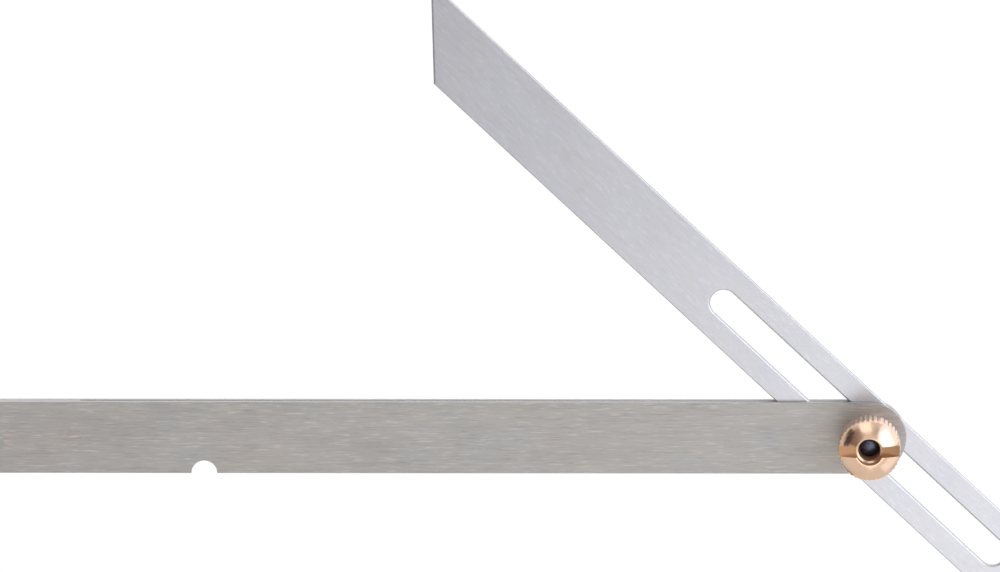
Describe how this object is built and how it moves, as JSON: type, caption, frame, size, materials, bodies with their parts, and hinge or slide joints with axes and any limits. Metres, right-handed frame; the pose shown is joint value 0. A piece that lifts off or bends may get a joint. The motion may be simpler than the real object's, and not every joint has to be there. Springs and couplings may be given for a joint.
{
  "type": "sliding bevel",
  "caption": "Sliding bevel: a slotted steel blade with an angled tip swings and slides in a flat steel stock, and a knurled brass nut locks it.",
  "frame": {"origin": "on the pivot axis at the stock's back face, in the middle of the clamp screw's flush head", "axes": "+X along the stock from its tail to its round end, +Y up in the stock's plane towards the blade's tip, +Z out of the front cheek along the pivot axis towards the lock nut"},
  "size_m": [0.2533, 0.1469, 0.0167],
  "materials": {
    "stock_steel": "stainless plate, brushed along the stock",
    "blade_steel": "fine satin stainless",
    "rivet_steel": "ground flush with the cheeks",
    "plain_steel": "turned steel",
    "black_screw": "black oxide, lightly polished end",
    "brass": "bright turned brass with a slight copper tone"
  },
  "bodies": {
    "stock": {"front_cheek": "stock_steel", "back_cheek": "stock_steel", "tail_spacer": "stock_steel", "tail_rivet_inner": "rivet_steel", "tail_rivet_outer": "rivet_steel", "clamp_screw": "black_screw"},
    "bush": {"slot_bush": "plain_steel"},
    "blade": {"blade": "blade_steel"},
    "washer": {"flat_washer": "plain_steel"},
    "nut": {"lock_nut": "brass"}
  },
  "joints": [
    {"name": "blade_swing", "type": "hinge", "parent": "stock", "child": "bush", "pos_m": [0, 0, 0], "axis": [0, 0, 1], "range_deg": [-316.3, 43.7]},
    {"name": "blade_slide", "type": "slide", "parent": "bush", "child": "blade", "axis": [-0.723, 0.6909, 0], "range_m": [-0.0465, 0.0348]},
    {"name": "nut_lift", "type": "slide", "parent": "stock", "child": "washer", "axis": [0, 0, 1], "range_m": [0, 0.001]},
    {"name": "nut_turn", "type": "hinge", "parent": "washer", "child": "nut", "pos_m": [0, 0, 0.0042], "axis": [0, 0, 1], "range_deg": [0, 450]}
  ],
  "couplings": [
    {"joint": "nut_lift", "follows": "nut_turn", "m_per_rad": 0.00012732}
  ]
}
